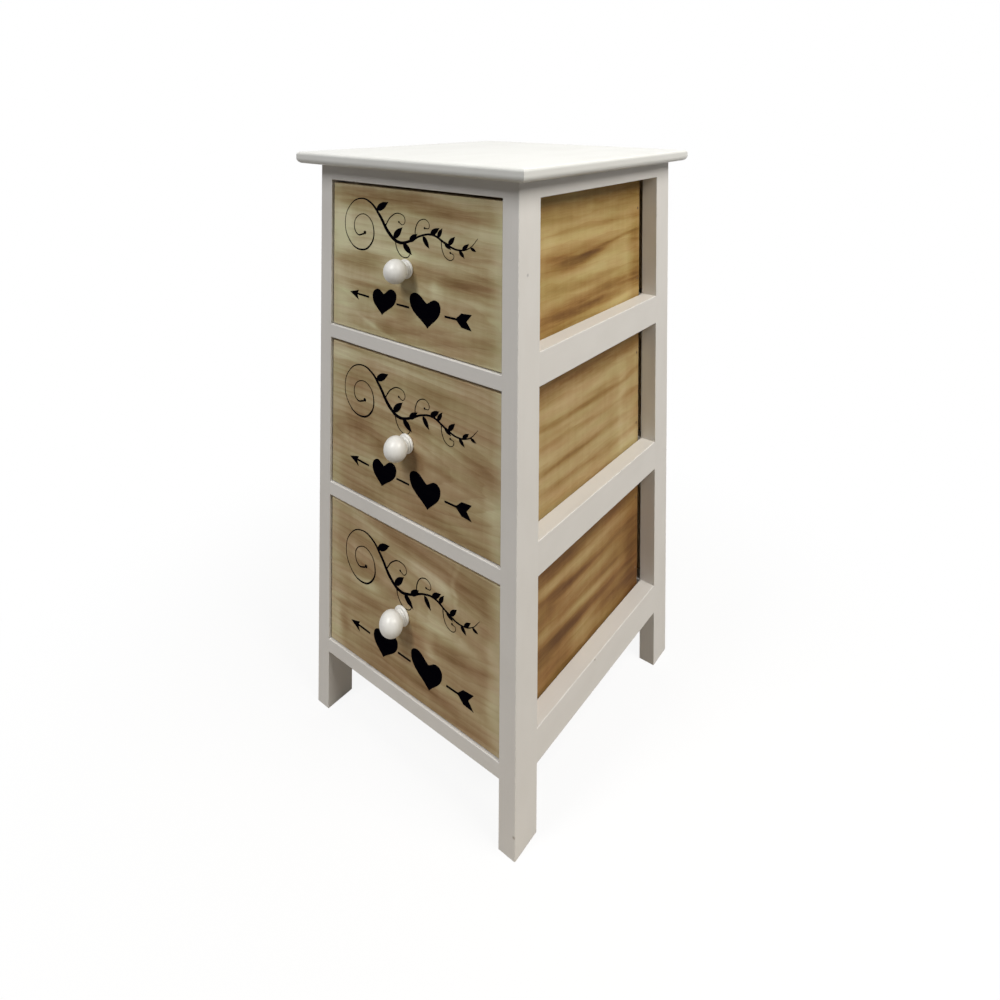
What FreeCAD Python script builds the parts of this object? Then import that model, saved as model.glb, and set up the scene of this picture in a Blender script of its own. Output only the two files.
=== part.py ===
import FreeCAD, Part
import os

# Slim bedside chest: a stick frame, a top board and three drawers on wooden runners.
# Millimetres, +Z up from the floor, +X to the right seen from the front, +Y to the back.
# The origin is on the floor, under the middle of the whole chest with its knobs.

# Frame outside sizes
frame_width = 277.0
frame_depth = 314.0

# Legs
leg_width = 18.5
leg_depth = 33.5
foot_height = 63.0
arris_radius = 1.0

# Front rails and the openings above them
drawer_count = 3
front_rail_height = 15.0
front_rail_depth = 22.0
opening_height = 160.5
top_rail_height = 17.5

# Side rails and back rails. Number 0 is the top one. The drops say how far the others' undersides sit
# below the front rails' undersides: they are set by hand
side_rail_height = 33.0
top_side_rail_height = 19.0
side_rail_drops = {1: 1.8, 2: 2.2, 3: 0.0}
back_rail_thickness = 18.0

# Back panel, in grooves in the back legs
panel_thickness = 3.0
panel_groove_depth = 5.0
groove_clearance = 0.2

# Top board
board_thickness = 13.0
board_overhang_front = 20.0
board_overhang_side = 19.5
board_overhang_back = 12.0
board_top_round = 3.5
board_lower_round = 6.0

# Runners that the drawers slide on
runner_width = 12.0
runner_height = 12.0
running_gap = 0.3

# Drawers
drawer_recess = 2.0
drawer_side_gap = 1.5
drawer_bottom_gap = 1.0
drawer_top_gap = 3.3
drawer_front_thickness = 10.0
drawer_front_round = 0.8
drawer_side_thickness = 9.0
drawer_side_inset = 1.0
drawer_side_drop = 2.0
drawer_rear_gap = 3.5
drawer_back_thickness = 9.0
drawer_back_drop = 8.0
bottom_thickness = 3.0
bottom_height = 6.0
bottom_groove_depth = 4.0
stop_gap = 0.3

# Turned knobs
knob_head_diameter = 25.0
knob_head_depth = 24.0
knob_head_round = 10.0
knob_throat_share = 0.7
knob_length = 27.5
knob_neck_diameter = 13.5
knob_base_diameter = 20.0
knob_base_thickness = 3.0
knob_bead_diameter = 17.5
knob_bead_thickness = 2.4

# How far right and up from the middle of its drawer front each knob sits: the holes are drilled by hand
knob_offsets = {1: (-4.4, -1.2), 2: (-2.2, -2.3), 3: (-6.6, -3.1)}

# Knob screws
knob_screw_diameter = 4.0
knob_screw_grip = 14.0
knob_screw_head_diameter = 8.0
knob_screw_head_height = 2.6
knob_screw_head_round = 1.5
screw_hole_clearance = 0.15

# Dowels
frame_dowel_diameter = 6.0
frame_dowel_length = 24.0
frame_dowel_spacing = 16.0
top_dowel_stagger = 8.0
drawer_dowel_diameter = 5.0
drawer_dowel_length = 16.0
drawer_dowel_front_depth = 6.5
drawer_dowel_spacing = 88.0
dowel_clearance = 0.1
dowel_end_clearance = 0.5

# Screws that hold the top board
top_screw_diameter = 3.5
top_screw_head_diameter = 7.0
top_screw_head_height = 2.4
top_screw_bite = 9.0
top_screw_spacing = 150.0

# Nails
nail_diameter = 1.6
nail_head_diameter = 3.2
nail_head_height = 0.8
nail_clearance = 0.1
panel_nail_bite = 10.0
runner_nail_bite = 11.0
drawer_nail_bite = 14.0
drawer_nail_edge = 26.0
panel_nails_per_rail = 3
runner_nails_each = 3
bottom_nails_each = 3

# Levels that follow from the stack of rails and openings
storey_height = front_rail_height + opening_height
leg_height = foot_height + drawer_count * storey_height + top_rail_height
board_top = leg_height + board_thickness

# Planes that follow from the outside sizes
knob_proud = knob_length - drawer_recess
front_reach = max(knob_proud, board_overhang_front)
total_depth = front_reach + frame_depth + board_overhang_back
frame_front = front_reach - total_depth / 2
frame_back = frame_front + frame_depth
leg_outer = frame_width / 2
leg_inner = leg_outer - leg_width
back_leg_front = frame_back - leg_depth
back_rail_back = back_leg_front + back_rail_thickness

# Drawer planes
drawer_half_width = leg_inner - drawer_side_gap
drawer_front_face = frame_front + drawer_recess
drawer_front_back = drawer_front_face + drawer_front_thickness
drawer_rear = back_leg_front - drawer_rear_gap
drawer_front_height = opening_height - drawer_bottom_gap - drawer_top_gap
drawer_side_height = drawer_front_height - drawer_side_drop
side_outer = drawer_half_width - drawer_side_inset
side_inner = side_outer - drawer_side_thickness
bottom_end = back_leg_front - stop_gap
runner_top_rise = drawer_bottom_gap - running_gap

nodes = {}
same_place = 1e-6  # how close two places are that count as one


def block(x0, x1, y0, y1, z0, z1):
    """A box between two corners."""
    return Part.makeBox(x1 - x0, y1 - y0, z1 - z0, FreeCAD.Vector(x0, y0, z0))


def is_long(edge, direction):
    """True for an edge that runs along the axis numbered direction."""
    start, end = edge.Vertexes[0].Point, edge.Vertexes[-1].Point
    return abs(end[direction] - start[direction]) > same_place


def stick(x0, x1, y0, y1, z0, z1, along):
    """A squared rail whose four long edges are eased."""
    shape = block(x0, x1, y0, y1, z0, z1)
    direction = {"x": 0, "y": 1, "z": 2}[along]
    return shape.makeFillet(arris_radius, [edge for edge in shape.Edges if is_long(edge, direction)])


def post(x0, x1, y0, y1, z0, z1):
    """A leg, eased at its outer corner only, so that the rails meet its other edges without a groove."""
    shape = block(x0, x1, y0, y1, z0, z1)
    outer_x = max((x0, x1), key=abs)
    outer_y = min((y0, y1), key=lambda y: min(abs(y - frame_front), abs(y - frame_back)))
    corner = [
        edge
        for edge in shape.Edges
        if is_long(edge, 2)
        and abs(edge.Vertexes[0].X - outer_x) < same_place
        and abs(edge.Vertexes[0].Y - outer_y) < same_place
    ]
    return shape.makeFillet(arris_radius, corner)


def rod(centre, axis, radius, length):
    """A cylinder with its middle at centre."""
    axis = FreeCAD.Vector(axis)
    return Part.makeCylinder(radius, length, FreeCAD.Vector(centre) - axis * (length / 2), axis)


def storey(index):
    """Top of the front rail under a drawer. Index 1 is the top drawer."""
    return foot_height + front_rail_height + (drawer_count - index) * storey_height


class Joint:
    """A dowel and the hole that it is glued into."""

    def __init__(self, centre, axis, diameter, length, near_depth=None):
        axis = FreeCAD.Vector(axis)
        if near_depth is not None:
            centre = FreeCAD.Vector(centre) + axis * (length / 2 - near_depth)
        self.dowel = rod(centre, axis, diameter / 2, length)
        self.hole = rod(centre, axis, diameter / 2 + dowel_clearance, length + 2 * dowel_end_clearance)


def bored(shape, holes):
    """The shape without the holes that reach into it."""
    near = [hole for hole in holes if hole.BoundBox.intersect(shape.BoundBox)]
    return shape.cut(near) if near else shape


def headed_pin(tip, axis, diameter, length, head_diameter, head_height):
    """A nail or screw: axis points from the tip to the head, length includes the head."""
    axis = FreeCAD.Vector(axis)
    shank = Part.makeCylinder(diameter / 2, length - head_height, FreeCAD.Vector(tip), axis)
    seat = FreeCAD.Vector(tip) + axis * (length - head_height)
    head = Part.makeCone(diameter / 2, head_diameter / 2, head_height, seat, axis)
    return shank.fuse(head).removeSplitter()


def pin_and_hole(tip, axis, diameter, length, head_diameter, head_height, clearance):
    """A headed pin and the slightly wider hole that it fills."""
    pin = headed_pin(tip, axis, diameter, length, head_diameter, head_height)
    axis = FreeCAD.Vector(axis)
    low = FreeCAD.Vector(tip) - axis * clearance
    hole = headed_pin(
        low, axis, diameter + 2 * clearance, length + clearance, head_diameter + 2 * clearance, head_height
    )
    return pin, hole


def front_rail_levels(index):
    """Underside and top of a front rail. Index 0 is the top rail."""
    if index == 0:
        return leg_height - top_rail_height, leg_height
    return storey(index) - front_rail_height, storey(index)


def rail_levels(index):
    """Underside and top of the side and back rails. Index 0 is the top rail."""
    if index == 0:
        return leg_height - top_side_rail_height, leg_height
    low = storey(index) - front_rail_height - side_rail_drops[index]
    return low, low + side_rail_height


def side_dowel_levels(index):
    """Two dowels in a side rail, and one low in the top side rail."""
    middle = sum(rail_levels(index)) / 2
    if index == 0:
        return [middle - top_dowel_stagger / 2]
    return [middle - frame_dowel_spacing / 2, middle + frame_dowel_spacing / 2]


def back_dowel_level(index):
    """One dowel in a back rail, which passes between or above the side rail's dowels in the leg."""
    middle = sum(rail_levels(index)) / 2
    return middle + top_dowel_stagger / 2 if index == 0 else middle


def frame_joints():
    """Dowels between the legs and every rail."""
    joints = []
    across, along = (1, 0, 0), (0, 1, 0)
    front_y = frame_front + front_rail_depth / 2
    back_y = back_leg_front + back_rail_thickness / 2
    for side in (-1, 1):
        seam_x = side * leg_inner
        leg_middle = side * (leg_inner + leg_outer) / 2
        for index in range(drawer_count + 1):
            places = [
                ((seam_x, front_y, sum(front_rail_levels(index)) / 2), across),
                ((seam_x, back_y, back_dowel_level(index)), across),
            ]
            for level in side_dowel_levels(index):
                places.append(((leg_middle, frame_front + leg_depth, level), along))
                places.append(((leg_middle, back_leg_front, level), along))
            for centre, axis in places:
                joints.append(Joint(centre, axis, frame_dowel_diameter, frame_dowel_length))
    return joints


def top_screws():
    """Screws up through the front and back top rails into the board."""
    pins, holes = [], []
    for y, rail_height in (
        (frame_front + front_rail_depth / 2, top_rail_height),
        (back_leg_front + back_rail_thickness / 2, top_side_rail_height),
    ):
        for x in (-top_screw_spacing / 2, top_screw_spacing / 2):
            tip = (x, y, leg_height + top_screw_bite)
            pin, hole = pin_and_hole(
                tip,
                (0, 0, -1),
                top_screw_diameter,
                top_screw_bite + rail_height,
                top_screw_head_diameter,
                top_screw_head_height,
                nail_clearance,
            )
            pins.append(pin)
            holes.append(hole)
    return pins, holes


def panel_nails():
    """Nails through the back panel into each back rail."""
    pins, holes = [], []
    spacing = 2 * leg_inner / panel_nails_per_rail
    for index in range(drawer_count + 1):
        low, high = rail_levels(index)
        for place in range(panel_nails_per_rail):
            x = (place - (panel_nails_per_rail - 1) / 2) * spacing
            tip = (x, back_rail_back - panel_nail_bite, (low + high) / 2)
            pin, hole = pin_and_hole(
                tip,
                (0, 1, 0),
                nail_diameter,
                panel_nail_bite + groove_clearance / 2 + panel_thickness,
                nail_head_diameter,
                nail_head_height,
                nail_clearance,
            )
            pins.append(pin)
            holes.append(hole)
    return pins, holes


def runner_nails():
    """Nails through each runner into the side rail behind it."""
    pins, holes = [], []
    start, end = frame_front + leg_depth, back_leg_front
    for side in (-1, 1):
        for index in range(1, drawer_count + 1):
            level = storey(index) + runner_top_rise - runner_height / 2
            for place in range(runner_nails_each):
                y = start + (place + 0.5) * (end - start) / runner_nails_each
                tip = (side * (leg_inner + runner_nail_bite), y, level)
                pin, hole = pin_and_hole(
                    tip,
                    (-side, 0, 0),
                    nail_diameter,
                    runner_nail_bite + runner_width,
                    nail_head_diameter,
                    nail_head_height,
                    nail_clearance,
                )
                pins.append(pin)
                holes.append(hole)
    return pins, holes


def rounded_profile(low, high, lower_round, upper_round, bottom, top):
    """Closed outline of the board seen end on, as (across, up) pairs joined by lines and quarter rounds."""
    turn = 0.5**0.5

    def corner(centre, radius, start, end):
        middle = ((start[0] + end[0]) * turn, (start[1] + end[1]) * turn)
        return [(centre[0] + radius * x, centre[1] + radius * y) for x, y in (start, middle, end)]

    return [
        corner((low + lower_round, bottom + lower_round), lower_round, (-1, 0), (0, -1)),
        corner((high - lower_round, bottom + lower_round), lower_round, (0, -1), (1, 0)),
        corner((high - upper_round, top - upper_round), upper_round, (1, 0), (0, 1)),
        corner((low + upper_round, top - upper_round), upper_round, (0, 1), (-1, 0)),
    ]


def moulded_prism(corners, to_point, run):
    """Extrudes an outline of quarter rounds along the vector run."""
    edges = []
    for index, (start, middle, end) in enumerate(corners):
        edges.append(Part.Arc(to_point(start), to_point(middle), to_point(end)).toShape())
        following = corners[(index + 1) % len(corners)][0]
        edges.append(Part.LineSegment(to_point(end), to_point(following)).toShape())
    return Part.Face(Part.Wire(edges)).extrude(run)


def top_board():
    """The board: its moulded edge runs along both directions and meets in a mitre at each corner."""
    x = leg_outer + board_overhang_side
    front = frame_front - board_overhang_front
    back = frame_back + board_overhang_back
    across = rounded_profile(-x, x, board_lower_round, board_top_round, leg_height, board_top)
    along = rounded_profile(front, back, board_lower_round, board_top_round, leg_height, board_top)
    first = moulded_prism(
        across, lambda p: FreeCAD.Vector(p[0], front, p[1]), FreeCAD.Vector(0, back - front, 0)
    )
    second = moulded_prism(
        along, lambda p: FreeCAD.Vector(-x, p[0], p[1]), FreeCAD.Vector(2 * x, 0, 0)
    )
    return first.common(second)


def back_panel(clearance=0.0):
    """The back panel, or with a clearance the groove that it stands in."""
    half = leg_inner + panel_groove_depth - groove_clearance + clearance
    y0 = back_rail_back + groove_clearance / 2 - clearance / 2
    return block(
        -half, half, y0, y0 + panel_thickness + clearance, foot_height - clearance / 2, leg_height
    )


def legs(holes):
    """Four legs; the back ones are grooved for the panel."""
    groove = back_panel(groove_clearance)
    for side, side_name in ((-1, "left"), (1, "right")):
        x0, x1 = sorted((side * leg_inner, side * leg_outer))
        for depth_name, y0 in (("front", frame_front), ("back", back_leg_front)):
            shape = post(x0, x1, y0, y0 + leg_depth, 0, leg_height)
            if depth_name == "back":
                shape = shape.cut(groove)
            nodes[f"leg_{depth_name}_{side_name}"] = bored(shape, holes)


def rails(holes):
    """Front, side and back rails. Number 0 is the top one, then they count down."""
    for index in range(drawer_count + 1):
        low, high = front_rail_levels(index)
        front = stick(
            -leg_inner, leg_inner, frame_front, frame_front + front_rail_depth, low, high, "x"
        )
        nodes[f"front_rail_{index}"] = bored(front, holes)
        low, high = rail_levels(index)
        back = stick(-leg_inner, leg_inner, back_leg_front, back_rail_back, low, high, "x")
        nodes[f"back_rail_{index}"] = bored(back, holes)
        for side, side_name in ((-1, "left"), (1, "right")):
            x0, x1 = sorted((side * leg_inner, side * leg_outer))
            shape = stick(x0, x1, frame_front + leg_depth, back_leg_front, low, high, "y")
            nodes[f"side_rail_{side_name}_{index}"] = bored(shape, holes)


def runners(holes):
    """Strips nailed inside the side rails, a little above the front rails."""
    for index in range(1, drawer_count + 1):
        top = storey(index) + runner_top_rise
        for side, side_name in ((-1, "left"), (1, "right")):
            x0, x1 = sorted((side * (leg_inner - runner_width), side * leg_inner))
            strip = block(
                x0, x1, frame_front + front_rail_depth, back_leg_front, top - runner_height, top
            )
            nodes[f"runner_{side_name}_{index}"] = bored(strip, holes)


def knob_profile():
    """Half section of the turned knob: a base, a bead, a waist, and a head of two tangent rounds."""
    head_radius = knob_head_diameter / 2
    half_depth = knob_head_depth / 2
    widest = knob_length - half_depth
    round_centre = head_radius - knob_head_round
    spare = half_depth - knob_head_round
    dome_radius = (half_depth**2 + round_centre**2 - knob_head_round**2) / (2 * spare)
    dome_centre = knob_length - dome_radius

    def at(out, radius):
        return FreeCAD.Vector(radius, -out, 0)

    def on_round(out_share):
        rise = (1 - out_share**2) ** 0.5
        return at(widest + knob_head_round * out_share, round_centre + knob_head_round * rise)

    def on_dome(out_share):
        rise = (1 - out_share**2) ** 0.5
        return at(dome_centre + dome_radius * out_share, dome_radius * rise)

    def half_round(start, thickness, radius):
        corner = radius - thickness / 2
        return at(start, corner), at(start + thickness / 2, radius), at(start + thickness, corner)

    base = half_round(0, knob_base_thickness, knob_base_diameter / 2)
    bead = half_round(knob_base_thickness, knob_bead_thickness, knob_bead_diameter / 2)
    meeting = (widest - dome_centre) / (dome_radius - knob_head_round)
    throat = on_round(-knob_throat_share)
    waist = at(-(bead[2].y + throat.y) / 2, knob_neck_diameter / 2)
    return [
        Part.LineSegment(at(0, 0), base[0]),
        Part.Arc(*base),
        Part.LineSegment(base[2], bead[0]),
        Part.Arc(*bead),
        Part.Arc(bead[2], waist, throat),
        Part.Arc(throat, on_round(0), on_round(meeting)),
        Part.Arc(on_dome(meeting), on_dome((1 + meeting) / 2), at(knob_length, 0)),
        Part.LineSegment(at(knob_length, 0), at(0, 0)),
    ]


def knob(across, height):
    """A turned knob with a bored seat for its screw."""
    section = Part.Face(Part.Wire([curve.toShape() for curve in knob_profile()]))
    shape = section.revolve(FreeCAD.Vector(0, 0, 0), FreeCAD.Vector(0, 1, 0), 360)
    shape = shape.cut(
        Part.makeCylinder(
            knob_screw_diameter / 2 + screw_hole_clearance,
            knob_screw_grip + screw_hole_clearance,
            FreeCAD.Vector(0, 0, 0),
            FreeCAD.Vector(0, -1, 0),
        )
    )
    shape.translate(FreeCAD.Vector(across, drawer_front_face, height))
    return shape


def knob_screw(across, height):
    """A round headed machine screw from inside the drawer front into the knob."""
    seat = FreeCAD.Vector(across, drawer_front_back, height)
    shank_length = drawer_front_thickness + knob_screw_grip
    shank = Part.makeCylinder(knob_screw_diameter / 2, shank_length, seat, FreeCAD.Vector(0, -1, 0))
    head = Part.makeCylinder(
        knob_screw_head_diameter / 2, knob_screw_head_height, seat, FreeCAD.Vector(0, 1, 0)
    )
    head_end = drawer_front_back + knob_screw_head_height
    rim = [edge for edge in head.Edges if abs(edge.BoundBox.YMin - head_end) < same_place]
    head = head.makeFillet(knob_screw_head_round, rim)
    return shank.fuse(head).removeSplitter()


def drawer_dowels(low):
    """Dowels between a drawer's front and its sides."""
    joints = []
    middle = low + drawer_side_height / 2
    for side in (-1, 1):
        x = side * (side_inner + side_outer) / 2
        for level in (middle - drawer_dowel_spacing / 2, middle + drawer_dowel_spacing / 2):
            joints.append(
                Joint(
                    (x, drawer_front_back, level),
                    (0, 1, 0),
                    drawer_dowel_diameter,
                    drawer_dowel_length,
                    drawer_dowel_front_depth,
                )
            )
    return joints


def drawer_nails(low):
    """Nails through the sides and the bottom into the drawer's back."""
    pins, holes = [], []
    back_middle = drawer_rear - drawer_back_thickness / 2
    back_low = low + bottom_height + bottom_thickness
    back_high = low + drawer_side_height - drawer_back_drop
    for side in (-1, 1):
        for level in (back_low + drawer_nail_edge, back_high - drawer_nail_edge):
            pin, hole = pin_and_hole(
                (side * (side_inner - drawer_nail_bite), back_middle, level),
                (side, 0, 0),
                nail_diameter,
                drawer_nail_bite + drawer_side_thickness,
                nail_head_diameter,
                nail_head_height,
                nail_clearance,
            )
            pins.append(pin)
            holes.append(hole)
    spacing = 2 * side_inner / bottom_nails_each
    for place in range(bottom_nails_each):
        x = (place - (bottom_nails_each - 1) / 2) * spacing
        pin, hole = pin_and_hole(
            (x, back_middle, back_low + drawer_nail_bite),
            (0, 0, -1),
            nail_diameter,
            drawer_nail_bite + bottom_thickness,
            nail_head_diameter,
            nail_head_height,
            nail_clearance,
        )
        pins.append(pin)
        holes.append(hole)
    return pins, holes


def drawer(index):
    """One drawer: a thick front, two sides, a back and a thin bottom in grooves."""
    low = storey(index) + drawer_bottom_gap
    side_top = low + drawer_side_height
    knob_across, knob_rise = knob_offsets[index]
    knob_height = low + drawer_front_height / 2 + knob_rise
    joints = drawer_dowels(low)
    nails, nail_holes = drawer_nails(low)
    holes = [joint.hole for joint in joints] + nail_holes

    half_bottom = side_inner + bottom_groove_depth - groove_clearance
    bottom_start = drawer_front_back - bottom_groove_depth + groove_clearance
    bottom_low = low + bottom_height
    bottom = block(
        -half_bottom, half_bottom, bottom_start, bottom_end, bottom_low, bottom_low + bottom_thickness
    )
    groove = block(
        -half_bottom - groove_clearance,
        half_bottom + groove_clearance,
        bottom_start - groove_clearance,
        bottom_end,
        bottom_low - groove_clearance / 2,
        bottom_low + bottom_thickness + groove_clearance / 2,
    )

    front = block(
        -drawer_half_width,
        drawer_half_width,
        drawer_front_face,
        drawer_front_back,
        low,
        low + drawer_front_height,
    )
    face_edges = [
        edge for edge in front.Edges if abs(edge.BoundBox.YMax - drawer_front_face) < same_place
    ]
    front = front.makeFillet(drawer_front_round, face_edges)
    screw_hole = Part.makeCylinder(
        knob_screw_diameter / 2 + screw_hole_clearance,
        drawer_front_thickness,
        FreeCAD.Vector(knob_across, drawer_front_back, knob_height),
        FreeCAD.Vector(0, -1, 0),
    )
    nodes[f"drawer_{index}_front"] = bored(front, holes + [groove, screw_hole])

    for side, side_name in ((-1, "left"), (1, "right")):
        x0, x1 = sorted((side * side_inner, side * side_outer))
        board = block(x0, x1, drawer_front_back, drawer_rear, low, side_top)
        nodes[f"drawer_{index}_side_{side_name}"] = bored(board, holes + [groove])

    back = block(
        -side_inner,
        side_inner,
        drawer_rear - drawer_back_thickness,
        drawer_rear,
        bottom_low + bottom_thickness,
        side_top - drawer_back_drop,
    )
    nodes[f"drawer_{index}_back"] = bored(back, holes)
    nodes[f"drawer_{index}_bottom"] = bored(bottom, holes)
    nodes[f"drawer_{index}_dowels"] = Part.makeCompound([joint.dowel for joint in joints])
    nodes[f"drawer_{index}_nails"] = Part.makeCompound(nails)
    nodes[f"knob_{index}"] = knob(knob_across, knob_height)
    nodes[f"knob_screw_{index}"] = knob_screw(knob_across, knob_height)


def chest():
    """Builds every node."""
    joints = frame_joints()
    screws, screw_holes = top_screws()
    back_nails, back_nail_holes = panel_nails()
    strip_nails, strip_nail_holes = runner_nails()
    dowel_holes = [joint.hole for joint in joints]
    wood_holes = dowel_holes + screw_holes + back_nail_holes + strip_nail_holes

    nodes["top_board"] = bored(top_board(), screw_holes)
    legs(dowel_holes)
    rails(wood_holes)
    runners(strip_nail_holes)
    nodes["back_panel"] = bored(back_panel(), back_nail_holes)
    nodes["frame_dowels"] = Part.makeCompound([joint.dowel for joint in joints])
    nodes["top_screws"] = Part.makeCompound(screws)
    nodes["back_panel_nails"] = Part.makeCompound(back_nails)
    nodes["runner_nails"] = Part.makeCompound(strip_nails)
    for index in range(1, drawer_count + 1):
        drawer(index)


chest()
os.makedirs("parts", exist_ok=True)
for name, shape in nodes.items():
    shape.exportStep(f"parts/{name}.step")
    print(f"{name}: {len(shape.Solids)} solid(s), {shape.Volume / 1000:.1f} cm3, valid {shape.isValid()}")
total_width = frame_width + 2 * board_overhang_side
print(f"{len(nodes)} nodes, chest {total_width:.1f} x {total_depth:.1f} x {board_top:.1f} mm")
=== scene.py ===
import math

import bpy
from mathutils import Matrix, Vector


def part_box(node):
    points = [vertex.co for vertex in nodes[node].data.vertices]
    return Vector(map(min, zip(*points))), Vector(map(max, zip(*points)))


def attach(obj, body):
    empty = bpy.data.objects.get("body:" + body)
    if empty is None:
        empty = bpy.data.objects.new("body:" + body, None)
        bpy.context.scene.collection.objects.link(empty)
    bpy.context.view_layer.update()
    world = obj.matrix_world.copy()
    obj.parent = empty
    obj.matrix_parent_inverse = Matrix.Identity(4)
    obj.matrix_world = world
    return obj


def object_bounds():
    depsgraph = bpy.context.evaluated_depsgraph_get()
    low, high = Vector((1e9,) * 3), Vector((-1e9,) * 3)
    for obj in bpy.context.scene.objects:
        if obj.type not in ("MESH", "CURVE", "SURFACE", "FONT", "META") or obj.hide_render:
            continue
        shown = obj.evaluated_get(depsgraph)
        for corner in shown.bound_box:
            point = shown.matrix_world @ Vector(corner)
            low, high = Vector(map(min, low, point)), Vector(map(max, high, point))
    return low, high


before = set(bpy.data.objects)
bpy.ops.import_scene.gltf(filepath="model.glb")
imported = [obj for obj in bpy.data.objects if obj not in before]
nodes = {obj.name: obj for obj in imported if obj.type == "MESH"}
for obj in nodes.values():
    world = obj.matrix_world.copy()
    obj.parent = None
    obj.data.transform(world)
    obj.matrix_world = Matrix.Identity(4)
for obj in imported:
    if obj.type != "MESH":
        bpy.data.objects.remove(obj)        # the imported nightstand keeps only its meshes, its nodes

cadLow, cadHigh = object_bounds()
drawerNumbers = (1, 2, 3)   # from the top down
mm = 0.001

print("frame loaded:", len(nodes), "nodes")

# camera: the picture was taken level, so its verticals stay parallel and the view is shifted down
cameraView = {
    "place": (0.5075, -0.6557, 0.674),
    "turn": 37.76,      # degrees to the left of straight ahead
    "tilt": 0.0,        # degrees down
    "roll": 0.39,
    "lens": 25.31,
    "sensor": 36,
    "shiftY": -0.395,
    "nearest": 0.01,
}


def makeCamera():
    bpy.ops.object.camera_add(location=(0, 0, 0))
    camera = bpy.context.object
    camera.name = "photoCamera"
    turn = Matrix.Rotation(math.radians(cameraView["turn"]), 4, "Z")
    tilt = Matrix.Rotation(math.radians(90 - cameraView["tilt"]), 4, "X")
    roll = Matrix.Rotation(math.radians(cameraView["roll"]), 4, "Z")
    camera.matrix_world = Matrix.Translation(cameraView["place"]) @ turn @ tilt @ roll
    camera.data.lens = cameraView["lens"]
    camera.data.sensor_width = cameraView["sensor"]
    camera.data.shift_y = cameraView["shiftY"]
    camera.data.clip_start = cameraView["nearest"]
    bpy.context.scene.camera = camera


# lamps: place, width and height in metres, power in watts, colour. Each is aimed at the middle of the chest
lamps = {
    "lampFront": {
        "place": (-0.60, -2.94, 3.60), "wide": 0.9, "high": 2.2, "power": 111, "colour": (1, 0.985, 0.965),
    },
    "lampRight": {
        "place": (1.74, -0.05, 2.19), "wide": 1.35, "high": 1.35, "power": 64, "colour": (1, 0.96, 0.89),
    },
    "lampTop": {
        "place": (0.1, 0.7, 2.5), "wide": 1.2, "high": 1.2, "power": 5, "colour": (1, 0.99, 0.97),
    },
    "lampBack": {       # a low fill for the back and the left side, under the level of the top board
        "place": (-1.3, 1.6, 0.30), "wide": 1.3, "high": 0.5, "power": 15, "colour": (1, 0.985, 0.96),
    },
}


def makeLamps():
    middle = (cadLow + cadHigh) / 2
    for name, lamp in lamps.items():
        bpy.ops.object.light_add(type="AREA", location=lamp["place"])
        light = bpy.context.object
        light.name = name
        light.rotation_euler = (middle - light.location).to_track_quat("-Z", "Y").to_euler()
        light.data.shape = "RECTANGLE"
        light.data.size = lamp["wide"]
        light.data.size_y = lamp["high"]
        light.data.energy = lamp["power"]
        light.data.color = lamp["colour"]
        light.visible_camera = False


# shader helpers: a node with its inputs and settings, and what is built from it
def put(tree, kind, inputs=None, **settings):
    node = tree.nodes.new("ShaderNode" + kind)
    for key, value in settings.items():
        setattr(node, key, value)
    for key, value in (inputs or {}).items():
        if isinstance(value, bpy.types.NodeSocket):
            tree.links.new(value, node.inputs[key])
        else:
            node.inputs[key].default_value = value
    return node


def sums(tree, operation, a, b=0.5, c=0.0, clamp=False):
    inputs = {0: a, 1: b}
    if operation == "MULTIPLY_ADD":
        inputs[2] = c
    return put(tree, "Math", inputs, operation=operation, use_clamp=clamp).outputs[0]


def vectors(tree, operation, a, b):
    return put(tree, "VectorMath", {0: a, 1: b}, operation=operation).outputs[0]


def lengthOf(tree, vector):
    return put(tree, "VectorMath", {0: vector}, operation="LENGTH").outputs["Value"]


def blend(tree, factor, a, b, way="MIX"):
    inputs = {0: factor, 6: a, 7: b}
    return put(tree, "Mix", inputs, data_type="RGBA", blend_type=way).outputs[2]


def remap(tree, value, fromLow, fromHigh, toLow, toHigh, way="SMOOTHSTEP"):
    inputs = {"Value": value, "From Min": fromLow, "From Max": fromHigh, "To Min": toLow, "To Max": toHigh}
    return put(tree, "MapRange", inputs, interpolation_type=way).outputs[0]


def grainNoise(tree, place, stretch, detail=3.0, rough=0.55, output="Fac"):
    # stretch is how many steps of the noise a millimetre holds: along the grain, across it and into the wood
    stretched = put(tree, "Mapping", {"Vector": place, "Scale": stretch}).outputs[0]
    inputs = {"Vector": stretched, "Scale": 1.0, "Detail": detail, "Roughness": rough}
    return put(tree, "TexNoise", inputs).outputs[output]


def spread(tree, noise, low, high):
    # a noise lies mostly between 0.3 and 0.7: this stretches it from low to high
    return remap(tree, noise, 0.3, 0.7, low, high)


def vary(tree, tone, noise, share):
    # moves a tone up and down by half the share at most
    return sums(tree, "MULTIPLY_ADD", noise, share, sums(tree, "ADD", tone, -share / 2))


def spot(tree, place, middle, reach, tilt=0.0):
    # 1 at the middle, falling to 0 at the reach in each direction
    settings = {"Vector": place, "Location": middle, "Rotation": (0, 0, math.radians(tilt)), "Scale": reach}
    local = put(tree, "Mapping", settings, vector_type="TEXTURE").outputs[0]
    ball = put(tree, "TexGradient", {"Vector": local}, gradient_type="SPHERICAL").outputs["Fac"]
    return remap(tree, ball, 0.0, 1.0, 0.0, 1.0)


def ramp(tree, value, stops):
    node = put(tree, "ValToRGB", {"Fac": value})
    elements = node.color_ramp.elements
    while len(elements) < len(stops):
        elements.new(0.5)
    for element, (position, colour) in zip(elements, stops):
        element.position = position
        element.color = (*colour, 1)
    return node.outputs["Color"]


def twoTone(tree, value, span, first, second):
    return ramp(tree, value, [(span[0], first), (span[1], second)])


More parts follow.
